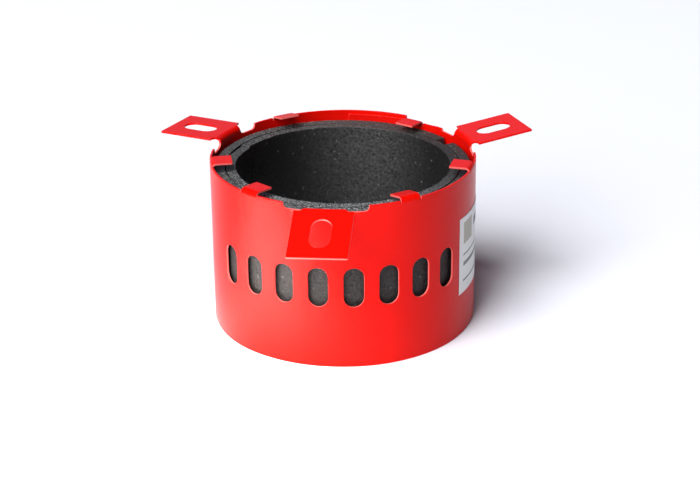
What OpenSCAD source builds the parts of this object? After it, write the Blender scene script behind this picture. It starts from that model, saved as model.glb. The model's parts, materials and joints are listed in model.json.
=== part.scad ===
// Pipe fire collar: a folded and rolled steel band that holds two turns of
// intumescent strip round a plastic pipe. The band is one sheet with three slotted
// fixing lugs bent outward, six retaining tabs bent inward and a lapped seam.
// The collar's axis is Z, its plain edge stands on z = 0 and its front lug is on -Y.
// All lengths are millimetres and all angles are degrees, seen from above.

/* [Liner] */
// Clear bore left for the pipe
bore_d = 76; // [50:0.5:125]
// Thickness of each liner strip
strip_t = 3.65; // [2:0.05:8]
// Gap between the two liner strips
ply_gap = 0.1; // [0.05:0.05:0.5]
// Clearance between the liner and the inner end of the sheet
liner_gap = 0.1; // [0.05:0.05:0.5]
// Depth of the liner below the rim
liner_recess = 3; // [1:0.5:10]
// Width of the open joint in the outer strip
outer_joint_w = 6; // [0.5:0.5:12]
// Angle of the outer strip's joint
outer_joint_angle = 38; // [0:1:359]
// Width of the joint in the inner strip
inner_joint_w = 0.8; // [0.2:0.1:4]
// Angle of the inner strip's joint
inner_joint_angle = 161; // [0:1:359]

/* [Band] */
// Height of the band
band_h = 60; // [40:1:100]
// Thickness of the steel sheet
sheet_t = 0.8; // [0.5:0.1:1.5]
// Inside radius of every fold
bend_r = 1.2; // [0.6:0.1:2.5]

/* [Seam] */
// Angle of the sheet's outer end
seam_angle = 66.5; // [60:0.5:75]
// Length of the overlap, along the band
lap_len = 23; // [10:0.5:35]
// Gap between the two layers of the overlap
lap_gap = 0.1; // [0.05:0.05:0.3]
// Radius of the two curves that step the tail inward
joggle_r = 10; // [4:0.5:16]
// Length of the tail that shows before the overlap
tail_lead = 10; // [4:0.5:11]
// Drop of the tail's rim below the band's rim
tail_drop = 1.2; // [0.2:0.1:1.6]
// Diameter of the two spot welds
weld_d = 5; // [3:0.5:7]
// Distance of each spot weld from the band's edge
weld_inset = 15; // [8:0.5:18]
// Depth of the dimple that each spot weld leaves
weld_dimple = 0.15; // [0.05:0.05:0.3]

/* [Lugs] */
// Angle of each lug round the band: front, right, left
lug_angles = [270, 27.5, 160]; // [0:0.5:360]
// Angle of each lug below the level: front, right, left
lug_droops = [24.3, -6.5, 1]; // [-15:0.1:45]
// Width of a lug
lug_w = 20.5; // [16:0.5:30]
// Reach of a lug from the band's outer face
lug_reach = 22.2; // [18:0.1:40]
// Height of each lug's fold above the rim: front, right, left
lug_rises = [-0.5, 1.1, 1.3]; // [-1:0.1:1.6]
// Radius of a lug's outer corners
lug_corner_r = 0.4; // [0.3:0.1:4]
// Width of the slot in a lug
slot_w = 7; // [4.5:0.5:10]
// Length of the slot in a lug
slot_len = 12.7; // [11:0.1:15]
// Distance of the slot's middle from the band's outer face
slot_offset = 11.4; // [9:0.2:14]
// Width of the neck that joins a lug to the band
neck_w = 14.2; // [10:0.2:16]
// Distance of a lug's shoulders from the band's outer face
shoulder = 1.4; // [1.2:0.1:3]
// Width of the relief cut on each side of the neck
relief_w = 7.7; // [6:0.1:9]
// Depth of the relief cuts below the rim
relief_depth = 2.1; // [1.8:0.1:4]
// Radius of the relief cuts' round ends
relief_r = 1.5; // [0.8:0.1:1.8]

/* [Tabs] */
// Angle from each lug back to the tab before it: front, right, left
tab_offsets_before = [35.5, 36, 33.5]; // [28:0.5:45]
// Angle from each lug on to the tab after it: front, right, left
tab_offsets_after = [36.5, 34, 35]; // [28:0.5:45]
// Angle above the level of the tab before each lug: front, right, left
tab_tilts_before = [-2, 0, 12]; // [-15:1:15]
// Angle above the level of the tab after each lug: front, right, left
tab_tilts_after = [-12, 1, 0]; // [-15:1:15]
// Width of a tab
tab_w = 7.4; // [5:0.1:12]
// Width of the cut on each side of a tab
tab_cut = 0.3; // [0.1:0.1:1]
// Reach of a tab from the sheet's inner face
tab_reach = 7; // [4:0.1:8]
// Height of a level tab's top face above the rim
tab_rise = 1; // [0.2:0.1:1.6]

/* [Windows] */
// Number of windows in the front of the band
window_n = 8; // [1:1:9]
// Width of a window
window_w = 7; // [3:0.5:9]
// Height of a window
window_h = 14.6; // [10:0.2:24]
// Angle from one window to the next
window_pitch = 15; // [12:0.5:16]
// Angle of the middle of the row
window_angle = 274; // [265:1:278]

/* [Label] */
// Length of the label, along the band
label_w = 45; // [20:1:60]
// Height of the label
label_h = 28.9; // [10:0.1:40]
// Thickness of the label
label_t = 0.12; // [0.05:0.01:0.3]
// Thickness of the adhesive under the label
label_glue = 0.02; // [0.01:0.01:0.05]
// Angle of the label's front edge
label_angle = 336; // [332:1:345]
// Height of the label's lower edge
label_z = 16.1; // [2:0.1:25]

/* [Hidden] */
$fn = 128;
// Overlap of pieces of sheet that are joined
eps = 0.3;
// Folds and curves are this much thinner per side than the sheet that they run into, so
// that no face of one lies on a face of the other
hair = 0.02;
// Overrun of a cut that goes right through the sheet
through = 4 * sheet_t;

// The radii grow outward from the bore
bore_r = bore_d / 2;
ply_r = bore_r + strip_t;
liner_r = ply_r + ply_gap + strip_t;
tail_r = liner_r + liner_gap + sheet_t;
band_r = tail_r + lap_gap + sheet_t;
liner_h = band_h - liner_recess;
tail_h = band_h - tail_drop;

// The tail leaves the band's circle and comes back to a smaller one through two equal
// tangent arcs; the three centres make a triangle, which gives the angles
mid_r = band_r - sheet_t / 2;
tail_mid_r = tail_r - sheet_t / 2;
in_centre = mid_r - joggle_r;
out_centre = tail_mid_r + joggle_r;
joggle_span = corner(in_centre, out_centre, 2 * joggle_r);
joggle_sweep = 180 - corner(in_centre, 2 * joggle_r, out_centre);
joggle_end = seam_angle - arc_angle(tail_lead, band_r);
joggle_start = joggle_end - joggle_span;
tail_end = seam_angle + arc_angle(lap_len, band_r);
weld_angle = (seam_angle + tail_end) / 2;
weld_zs = [weld_inset, band_h - weld_inset];

// The tail's lower rim starts inside the relief cut of the lug before the seam
tail_lug = 1;
relief_mid = (neck_w + relief_w) / 2;
step_angle = lug_angles[tail_lug] + asin(relief_mid / band_r);

// Angle at the corner between the sides a and b of a triangle, opposite the side c
function corner(a, b, c) = acos((a * a + b * b - c * c) / (2 * a * b));
// Angle that an arc of the given length takes on a circle
function arc_angle(length, r) = length / r * 180 / PI;

// Slot shape with round ends, its length along X, centred
module obround(length, width) {
  square([length - width, width], center = true);
  for (side = [-1, 1]) translate([side * (length - width) / 2, 0]) circle(d = width);
}

// Piece of upright wall on a circle, from one angle to another
module wall_arc(middle_r, from, to, height, thickness = sheet_t) {
  rotate(from)
    rotate_extrude(angle = to - from)
      translate([middle_r - thickness / 2, 0]) square([thickness, height]);
}

// Section of a fold with its centre at the origin: a straight neck that stands on the wall,
// then the sheet turning over the top towards +X
module fold_section(turn, neck) {
  near_r = bend_r + hair;
  far_r = bend_r + sheet_t - hair;
  translate([-far_r, -neck]) square([far_r - near_r, neck]);
  intersection() {
    difference() {
      circle(r = far_r);
      circle(r = near_r);
    }
    polygon([[0, 0], for (share = [0, 1, 2]) 2 * far_r * [-cos(turn * share / 2), sin(turn * share / 2)]]);
  }
}

// The rolled sheet, before its edges are cut: band, step and tail
module rolled_sheet() {
  pad = arc_angle(eps, joggle_r);
  wall_arc(mid_r, seam_angle, joggle_start + 360, band_h);
  rotate(joggle_start) translate([in_centre, 0])
    wall_arc(joggle_r, -pad, joggle_sweep + pad, tail_h, thickness = sheet_t - 2 * hair);
  rotate(joggle_end) translate([out_centre, 0])
    wall_arc(joggle_r, 180 - pad, 180 + joggle_sweep - joggle_span + pad, tail_h,
      thickness = sheet_t - 4 * hair);
  wall_arc(tail_mid_r, joggle_end, tail_end, tail_h);
}

// Strip cut off the rim between the last lug and the step, down to the tail's rim
module tail_rim_cut() {
  rotate(step_angle)
    rotate_extrude(angle = joggle_start + arc_angle(2 * eps, band_r) - step_angle)
      translate([band_r - through, tail_h]) square([2 * through, 2 * tail_drop]);
}

// Spot welds that join the two layers of the overlap
module welds() {
  for (z = weld_zs) rotate(weld_angle) translate([tail_mid_r, 0, z])
    rotate([0, 90, 0]) cylinder(d = weld_d, h = mid_r - tail_mid_r);
}

// Shallow dimples that the welding tips leave on the outer face
module weld_dimples() {
  for (z = weld_zs) rotate(weld_angle) translate([band_r - weld_dimple, 0, z])
    rotate([0, 90, 0]) cylinder(d = weld_d, h = through);
}

// Opening in the wall where a lug and its two relief cuts interrupt the rim
module lug_opening() {
  half_w = neck_w / 2 + relief_w;
  translate([band_r - through, 0, band_h - relief_depth]) rotate([90, 0, 90])
    linear_extrude(2 * through) {
      translate([-half_w, relief_r]) square([2 * half_w, relief_depth]);
      translate([relief_r - half_w, 0]) square([2 * (half_w - relief_r), relief_depth]);
      for (side = [-1, 1]) translate([side * (half_w - relief_r), relief_r]) circle(r = relief_r);
    }
}

// Flat outline of a lug, with u = 0 on the end of its fold and the lug along +X
module lug_outline() {
  fold_end = band_r + bend_r;
  tip = lug_reach - bend_r;
  difference() {
    union() {
      translate([shoulder - bend_r, -lug_w / 2])
        square([tip - lug_corner_r - shoulder + bend_r, lug_w]);
      translate([shoulder - bend_r, lug_corner_r - lug_w / 2])
        square([tip - shoulder + bend_r, lug_w - 2 * lug_corner_r]);
      for (side = [-1, 1]) translate([tip - lug_corner_r, side * (lug_w / 2 - lug_corner_r)])
        circle(r = lug_corner_r);
      translate([-shoulder, -neck_w / 2 - relief_r])
        square([2 * shoulder, neck_w + 2 * relief_r]);
    }
    translate([-fold_end, 0]) circle(r = fold_end - eps);
    translate([slot_offset - bend_r, 0]) obround(slot_len, slot_w);
  }
}

// One lug along +X: neck, fold and slotted plate, with round reliefs beside the neck
module lug(droop, rise) {
  turn = 90 + droop;
  fold_r = band_r + bend_r;
  fold_z = band_h + rise - bend_r - sheet_t;
  neck_z = min(band_h - relief_depth, fold_z) - eps;
  half_angle = asin((neck_w / 2 + relief_r) / band_r);
  difference() {
    union() {
      rotate(-half_angle) rotate_extrude(angle = 2 * half_angle)
        translate([fold_r, fold_z]) fold_section(turn, fold_z - neck_z);
      translate([fold_r, 0, fold_z]) rotate([0, droop, 0])
        translate([0, 0, bend_r]) linear_extrude(sheet_t) lug_outline();
    }
    for (side = [-1, 1]) rotate(side * half_angle) translate([fold_r, 0, fold_z])
      rotate([0, turn / 2 - 90, 0]) cylinder(r = relief_r, h = 2 * (bend_r + sheet_t));
  }
}

// Tabs as [angle, tilt, outer radius of their wall, height of their rim]
function tab_angle(i, side) =
  lug_angles[i] + (side < 0 ? -tab_offsets_before[i] : tab_offsets_after[i]);
function on_tail(i, side) = i == tail_lug && side > 0;
tabs = [for (i = [0:2], side = [-1, 1]) [
  tab_angle(i, side),
  side < 0 ? tab_tilts_before[i] : tab_tilts_after[i],
  on_tail(i, side) ? tail_r : band_r,
  on_tail(i, side) ? tail_h : band_h
]];

// Height at which the wall ends and a tab's fold starts
function tab_fold_z(rim) = rim + tab_rise - bend_r - sheet_t;

// Opening in the wall above a tab's fold, up to the layer outside it
module tab_opening(wall_r, rim) {
  half_angle = asin((tab_w / 2 + tab_cut) / wall_r);
  depth = sheet_t + through;
  rotate(-half_angle) rotate_extrude(angle = 2 * half_angle)
    translate([wall_r + lap_gap / 2 - depth, tab_fold_z(rim)]) square([depth, 2 * band_h]);
}

// One tab on the +X side, folded inward
module tab(tilt, wall_r, rim) {
  fold_r = wall_r - sheet_t - bend_r;
  fold_z = tab_fold_z(rim);
  half_angle = asin((tab_w / 2 + tab_cut) / fold_r);
  flat_len = tab_reach - bend_r;
  intersection() {
    union() {
      rotate(-half_angle) rotate_extrude(angle = 2 * half_angle)
        translate([fold_r, fold_z]) mirror([1, 0]) fold_section(90 - tilt, eps);
      translate([fold_r, 0, fold_z]) rotate([0, tilt, 0])
        translate([-flat_len, -tab_w, bend_r]) cube([flat_len + eps, 2 * tab_w, sheet_t]);
    }
    translate([0, -tab_w / 2, 0]) cube([2 * wall_r, tab_w, 2 * band_h]);
  }
}

// Row of windows, cut through the front of the wall
module windows() {
  first = window_angle - (window_n - 1) * window_pitch / 2;
  for (i = [0:window_n - 1]) rotate(first + i * window_pitch)
    translate([band_r - through, 0, band_h / 2]) rotate([90, 90, 90])
      linear_extrude(2 * through) obround(window_h, window_w);
}

// Folded sheet: the rolled wall, opened at the rim, with its lugs and tabs
module steel_band() {
  color("#e0161c") {
    difference() {
      rolled_sheet();
      tail_rim_cut();
      for (angle = lug_angles) rotate(angle) lug_opening();
      for (item = tabs) rotate(item[0]) tab_opening(item[2], item[3]);
      windows();
      weld_dimples();
    }
    welds();
    for (i = [0:2]) rotate(lug_angles[i]) lug(lug_droops[i], lug_rises[i]);
    for (item = tabs) rotate(item[0]) tab(item[1], item[2], item[3]);
  }
}

// One turn of liner strip with an open joint
module strip(inner_r, joint_w, joint_angle) {
  middle_r = inner_r + strip_t / 2;
  gap = arc_angle(joint_w, middle_r);
  rotate(joint_angle + gap / 2)
    rotate_extrude(angle = 360 - gap)
      translate([inner_r, 0]) square([strip_t, liner_h]);
}

module outer_liner_strip() {
  color("#35383a") strip(ply_r + ply_gap, outer_joint_w, outer_joint_angle);
}

module inner_liner_strip() {
  color("#2a2c2e") strip(bore_r, inner_joint_w, inner_joint_angle);
}

// Paper label, stuck to the outside of the wall
module label() {
  color("#e4e4e2")
    rotate(label_angle)
      rotate_extrude(angle = arc_angle(label_w, band_r))
        translate([band_r + label_glue, label_z]) square([label_t, label_h]);
}

steel_band();
outer_liner_strip();
inner_liner_strip();
label();
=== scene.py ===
"""Pipe fire collar: the looks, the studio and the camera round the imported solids.

The collar is one folded and rolled steel sheet, powder-coated red, round two turns of black intumescent
strip, with a paper label on its side. Every piece is worked out with numpy in millimetres, in the frame of
the solids, and stands for one of them.
"""

import json
import logging
import math
from collections.abc import Callable
from dataclasses import dataclass, field
from enum import Enum

import bmesh
import bpy
import numpy as np
from mathutils import Matrix, Vector
from mathutils.geometry import delaunay_2d_cdt

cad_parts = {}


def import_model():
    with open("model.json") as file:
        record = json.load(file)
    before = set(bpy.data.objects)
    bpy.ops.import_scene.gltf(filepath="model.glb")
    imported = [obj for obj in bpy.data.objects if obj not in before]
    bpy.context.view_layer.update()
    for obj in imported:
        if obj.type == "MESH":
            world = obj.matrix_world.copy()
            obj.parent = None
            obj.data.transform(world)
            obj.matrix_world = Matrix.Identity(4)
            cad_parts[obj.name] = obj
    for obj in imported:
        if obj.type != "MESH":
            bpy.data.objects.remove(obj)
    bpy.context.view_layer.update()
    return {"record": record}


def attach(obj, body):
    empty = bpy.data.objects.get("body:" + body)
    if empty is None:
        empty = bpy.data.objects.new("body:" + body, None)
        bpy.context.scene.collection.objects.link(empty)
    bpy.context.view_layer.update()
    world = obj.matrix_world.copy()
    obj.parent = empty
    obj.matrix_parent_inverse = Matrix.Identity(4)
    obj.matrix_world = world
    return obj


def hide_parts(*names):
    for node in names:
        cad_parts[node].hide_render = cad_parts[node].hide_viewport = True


MM = 0.001
BODY = "root"
BORE = "pipe_bore"

# Corner of an outline: its place, and the radius that rounds it
Corner = tuple[float, float, float]

# Largest turn in degrees between two points of a rounded corner, and the distance at which points are one
ARC_STEP = 15.0
SAME_POINT = 0.02

# Random values in a table of noise, and the large primes that spread the corners of a lattice over it
NOISE_VALUES = 4096
NOISE_PRIMES = (73856093, 19349663, 83492791)

# Edges that are tested together when points are sorted into a region, which bounds the memory
EDGES_TOGETHER = 500

# What Blender's triangulation gives, only triangles inside the edges, and its tolerance
INSIDE_EDGES, CUT_TOLERANCE = 1, 1e-6

# Small steps on the blank, in millimetres, that give the slopes of the sheet's middle and of its faces
MIDDLE_STEP, FACE_STEP = 0.01, 0.02

# Inputs and outputs of Blender's Mix node, which has one set for numbers and one for colours
SHARE, NUMBER_A, NUMBER_B, COLOUR_A, COLOUR_B = 0, 2, 3, 6, 7
NUMBER, COLOUR = 0, 2

log = logging.getLogger("collar")


class Slot(Enum):
    """Material slots of the record."""

    POWDER_COAT = "powder_coat"
    INTUMESCENT = "intumescent"
    LABEL_PAPER = "label_paper"


class Fold(Enum):
    """Way that a flap of the sheet is folded at the rim."""

    OUTWARD = 1
    INWARD = -1


# Small helpers


def linear(code: str) -> tuple[float, float, float, float]:
    """Turns an sRGB hex colour into linear light, by the curve of the sRGB standard.

    Args:
        code: six hex digits after a hash.

    Returns:
        Red, green and blue from 0 to 1, and full opacity.
    """
    srgb = np.array([int(code[i:i + 2], 16) for i in (1, 3, 5)]) / 255
    value = np.where(srgb <= 0.04045, srgb / 12.92, ((srgb + 0.055) / 1.055) ** 2.4)
    return (*value.tolist(), 1.0)


def per_mm(size: float) -> float:
    """Gives the scale of a texture whose features are size millimetres apart, on coordinates in metres."""
    return 1 / (size * MM)


def feed(tree: bpy.types.NodeTree, node: bpy.types.Node, inputs: dict) -> None:
    """Sets or links inputs of a shader node.

    Args:
        tree: node tree that holds the node.
        node: the node.
        inputs: value, or output socket to link, for each input by name or number.
    """
    for key, value in inputs.items():
        if isinstance(value, bpy.types.NodeSocket):
            tree.links.new(value, node.inputs[key])
        else:
            node.inputs[key].default_value = value


def add_node(tree: bpy.types.NodeTree, kind: str, inputs: dict | None = None, **settings) -> bpy.types.Node:
    """Adds one shader node.

    Args:
        tree: node tree that takes the node.
        kind: Blender's type name.
        inputs: what feed() puts into the node.
        settings: properties of the node itself.

    Returns:
        The new node.
    """
    node = tree.nodes.new(kind)
    for key, value in settings.items():
        setattr(node, key, value)
    feed(tree, node, inputs or {})
    return node


def new_material(name: str) -> tuple[bpy.types.Material, bpy.types.NodeTree, bpy.types.Node]:
    """Starts a material that is made of nodes.

    Args:
        name: name of the material.

    Returns:
        The material, its node tree and its shader.
    """
    made = bpy.data.materials.new(name)
    made.use_nodes = True
    return made, made.node_tree, made.node_tree.nodes["Principled BSDF"]


def unit(vectors: np.ndarray) -> np.ndarray:
    """Scales vectors, the last axis of an array, to length one."""
    return vectors / np.maximum(np.linalg.norm(vectors, axis=-1, keepdims=True), 1e-12)


def smooth(share: np.ndarray) -> np.ndarray:
    """Goes from 0 to 1 with flat ends: 3x^2 - 2x^3 on a share that is held between 0 and 1."""
    held = np.clip(share, 0, 1)
    return held * held * (3 - 2 * held)


def corner_angle(a: float, b: float, c: float) -> float:
    """Angle between the sides a and b of a triangle, opposite the side c, by the law of cosines."""
    return math.acos((a * a + b * b - c * c) / (2 * a * b))


def direction(azimuth: float, elevation: float) -> Vector:
    """Unit direction away from the collar; in degrees, azimuth 0 is in front and 90 is on the right."""
    a, e = math.radians(azimuth), math.radians(elevation)
    return Vector((math.sin(a) * math.cos(e), -math.cos(a) * math.cos(e), math.sin(e)))


def rays(angle: np.ndarray) -> np.ndarray:
    """Unit directions at angles in radians, seen from above, along a new last axis."""
    return np.stack([np.cos(angle), np.sin(angle)], -1)


def pairs(across: np.ndarray, upright: np.ndarray) -> np.ndarray:
    """Pairs each of one row of numbers with each of another, as an array of two columns."""
    return np.stack(np.meshgrid(across, upright), -1).reshape(-1, 2)


def slopes(surface: Callable[[np.ndarray], np.ndarray], flat: np.ndarray, step: float) -> list[np.ndarray]:
    """Differences of a surface along both axes of the blank, between a small step forward and one back."""
    return [surface(flat + move) - surface(flat - move) for move in step * np.eye(2)]


def lattice_noise(points: np.ndarray, cell: float, seed: int) -> np.ndarray:
    """Smooth noise: random values on a cubic lattice, blended inside each cube with smooth().

    Args:
        points: places in millimetres, three numbers each.
        cell: edge of a cube in millimetres.
        seed: number of the random table.

    Returns:
        One value per point, from 0 to 1.
    """
    table = np.random.default_rng(seed).random(NOISE_VALUES)
    scaled = points / cell
    base = np.floor(scaled).astype(np.int64)
    part = smooth(scaled - base)
    total = np.zeros(points.shape[:-1])
    for corner in np.ndindex(2, 2, 2):
        spot = (base + corner) * np.array(NOISE_PRIMES)
        key = (spot[..., 0] ^ spot[..., 1] ^ spot[..., 2]) % len(table)
        total += table[key] * np.prod(np.where(corner, part, 1 - part), axis=-1)
    return total


def rounded_loop(corners: list[Corner], across: float, upright: float) -> np.ndarray:
    """Samples a closed outline whose corners are rounded to arcs.

    Each corner's arc touches both of its edges; its centre lies on the bisector, radius / sin(half angle)
    from the corner. Straight stretches are cut into equal steps.

    Args:
        corners: place and radius of each corner, in order.
        across: longest step on edges that run mainly along the first axis.
        upright: longest step on the other edges.

    Returns:
        The outline's points, an array of two columns.
    """
    data = np.array(corners, float)
    place, radius = data[:, :2], data[:, 2]
    back = unit(np.roll(place, 1, 0) - place)
    ahead = unit(np.roll(place, -1, 0) - place)
    half = np.arccos(np.clip((back * ahead).sum(1), -1, 1)) / 2
    centre = place + unit(back + ahead) * (radius / np.sin(half))[:, None]
    tangent = (radius / np.tan(half))[:, None]
    enter, leave = place + back * tangent, place + ahead * tangent
    pieces = []
    for i in range(len(data)):
        first, last = (np.arctan2(*(p[i] - centre[i])[::-1]) for p in (enter, leave))
        sweep = (last - first + math.pi) % (2 * math.pi) - math.pi
        steps = max(2, math.ceil(abs(sweep) / math.radians(ARC_STEP)))
        turn = first + sweep * np.linspace(0, 1, 1 + steps)
        pieces.append(centre[i] + radius[i] * rays(turn))
        run = enter[(i + 1) % len(data)] - leave[i]
        step = across if abs(run[0]) > abs(run[1]) else upright
        share = np.linspace(0, 1, 1 + max(1, math.ceil(np.hypot(*run) / step)))[1:-1, None]
        pieces.append(leave[i] + share * run)
    loop = np.concatenate(pieces)
    apart = np.linalg.norm(loop - np.roll(loop, 1, 0), axis=1)
    return loop[apart > SAME_POINT]


def loop_normals(loop: np.ndarray) -> np.ndarray:
    """Finds the normals on the right-hand side of a closed loop, halfway between those of its edges.

    Args:
        loop: points of the loop, in order.

    Returns:
        One unit normal per point.
    """
    edge = unit(np.roll(loop, -1, 0) - loop)
    along = unit(edge + np.roll(edge, 1, 0))
    return np.stack([along[:, 1], -along[:, 0]], 1)


def obround(centre: tuple[float, float], width: float, height: float) -> list[Corner]:
    """Corners of an upright slot with round ends, listed clockwise as a hole is."""
    x, y, radius = width / 2, height / 2, width / 2
    return [(centre[0] + i * x, centre[1] + j * y, radius) for i, j in ((-1, -1), (-1, 1), (1, 1), (1, -1))]


def grid_faces(rows: int, columns: int) -> np.ndarray:
    """Quads of a grid whose columns close into a ring.

    Args:
        rows: number of rings.
        columns: points in each ring.

    Returns:
        Four vertex numbers for each face.
    """
    i, j = np.meshgrid(np.arange(rows - 1), np.arange(columns), indexing="ij")
    after = (j + 1) % columns
    quads = [i * columns + j, (i + 1) * columns + j, (i + 1) * columns + after, i * columns + after]
    return np.stack(quads, -1).reshape(-1, 4)


def inside(points: np.ndarray, loops: list[np.ndarray], margin: float) -> np.ndarray:
    """Tells which points lie in a region and clear of its edges, by counting crossings to the right.

    Args:
        points: places to test.
        loops: closed outlines of the region and of its holes.
        margin: least distance from any point of the outlines.

    Returns:
        One truth value per point.
    """
    odd = np.zeros(len(points), bool)
    near = np.full(len(points), np.inf)
    x, y = points[:, :1], points[:, 1:]
    for loop in loops:
        for part in np.array_split(np.arange(len(loop)), max(1, len(loop) // EDGES_TOGETHER)):
            a, b = loop[part], np.roll(loop, -1, 0)[part]
            spans = (a[:, 1] > y) != (b[:, 1] > y)
            rise = np.where(a[:, 1] == b[:, 1], 1, b[:, 1] - a[:, 1])
            meets = a[:, 0] + (y - a[:, 1]) / rise * (b[:, 0] - a[:, 0])
            odd ^= ((spans & (x < meets)).sum(1) % 2).astype(bool)
            near = np.minimum(near, np.hypot(x - a[:, 0], y - a[:, 1]).min(1))
    return odd & (near > margin)


def add_piece(name: str, points: np.ndarray, faces: list[np.ndarray], materials: list[bpy.types.Material],
              normals: np.ndarray | None = None) -> bpy.types.Object:
    """Puts a surface into the scene as a smooth mesh object at the origin.

    Args:
        name: name of the piece.
        points: vertices in millimetres.
        faces: arrays of vertex numbers, one array for each number of corners.
        materials: materials of the mesh, in order.
        normals: vertex normals, where the surface's own are better than those of its faces.

    Returns:
        The new object.
    """
    mesh = bpy.data.meshes.new(name)
    mesh.from_pydata(points * MM, [], [face for block in faces for face in block.tolist()])
    mesh.polygons.foreach_set("use_smooth", np.ones(len(mesh.polygons), bool))
    for material in materials:
        mesh.materials.append(material)
    if normals is not None:
        mesh.normals_split_custom_set_from_vertices(normals)
    mesh.update()
    piece = bpy.data.objects.new(name, mesh)
    bpy.context.scene.collection.objects.link(piece)
    log.info("%s: %d faces", name, len(mesh.polygons))
    return piece


def set_attribute(piece: bpy.types.Object, name: str, values: np.ndarray) -> None:
    """Stores one number per vertex under a name that a material reads."""
    store = piece.data.attributes.new(name, "FLOAT", "POINT")
    store.data.foreach_set("value", np.asarray(values, np.float32))


def stand_for(piece: bpy.types.Object, node: str) -> None:
    """Makes a piece ride on the collar in place of a solid.

    Args:
        piece: the piece.
        node: solid that it stands for.
    """
    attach(piece, BODY)
    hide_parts(node)


# Finishes


@dataclass(frozen=True)
class PowderCoat:
    """Polyester powder coat, sprayed and baked on steel: an even, strong red with a soft gloss.

    The melt leaves a faint orange peel, drawn deep enough to show here. Cut edges are painted paler: partly
    a thinner coat there, mostly a painted highlight.
    """

    body: str = "#D00B03"
    shade: str = "#C80902"
    # Pale pink that the edges are mixed towards: partly a thinner coat, mostly a painted highlight
    edge: str = "#FFB4AE"
    edge_highlight_share: float = 0.28
    roughness: float = 0.28
    specular: float = 0.12
    patch_mm: float = 26.0
    peel_mm: float = 1.1
    peel_detail: float = 1.0
    peel_depth_mm: float = 0.05
    peel_strength: float = 1.0

    def material(self) -> bpy.types.Material:
        """Builds the material: slow patches of tone, edges painted pale as a highlight, and the orange peel.

        Returns:
            The material.
        """
        made, tree, shader = new_material("red_powder_coat")
        place = add_node(tree, "ShaderNodeTexCoord").outputs["Object"]
        patch = add_node(tree, "ShaderNodeTexNoise", {"Vector": place, "Scale": per_mm(self.patch_mm)})
        tone = add_node(tree, "ShaderNodeMix", {SHARE: patch.outputs["Fac"], COLOUR_A: linear(self.body),
                                                COLOUR_B: linear(self.shade)}, data_type="RGBA")
        # Painted highlight: the edge attribute mixes the edges towards the pale pink, a little of it for a
        # thinner coat
        rim = add_node(tree, "ShaderNodeAttribute", attribute_name="edge")
        edge_highlight = add_node(tree, "ShaderNodeMath", {0: rim.outputs["Fac"], 1: self.edge_highlight_share},
                        operation="MULTIPLY")
        coat = add_node(tree, "ShaderNodeMix", {SHARE: edge_highlight.outputs[0], COLOUR_A: tone.outputs[COLOUR],
                                                COLOUR_B: linear(self.edge)}, data_type="RGBA")
        peel = add_node(tree, "ShaderNodeTexNoise", {"Vector": place, "Scale": per_mm(self.peel_mm),
                                                     "Detail": self.peel_detail})
        bump = add_node(tree, "ShaderNodeBump", {"Height": peel.outputs["Fac"],
                                                 "Strength": self.peel_strength,
                                                 "Distance": self.peel_depth_mm * MM})
        feed(tree, shader, {"Base Color": coat.outputs[COLOUR], "Normal": bump.outputs["Normal"],
                            "Roughness": self.roughness, "Specular IOR Level": self.specular})
        return made


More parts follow.
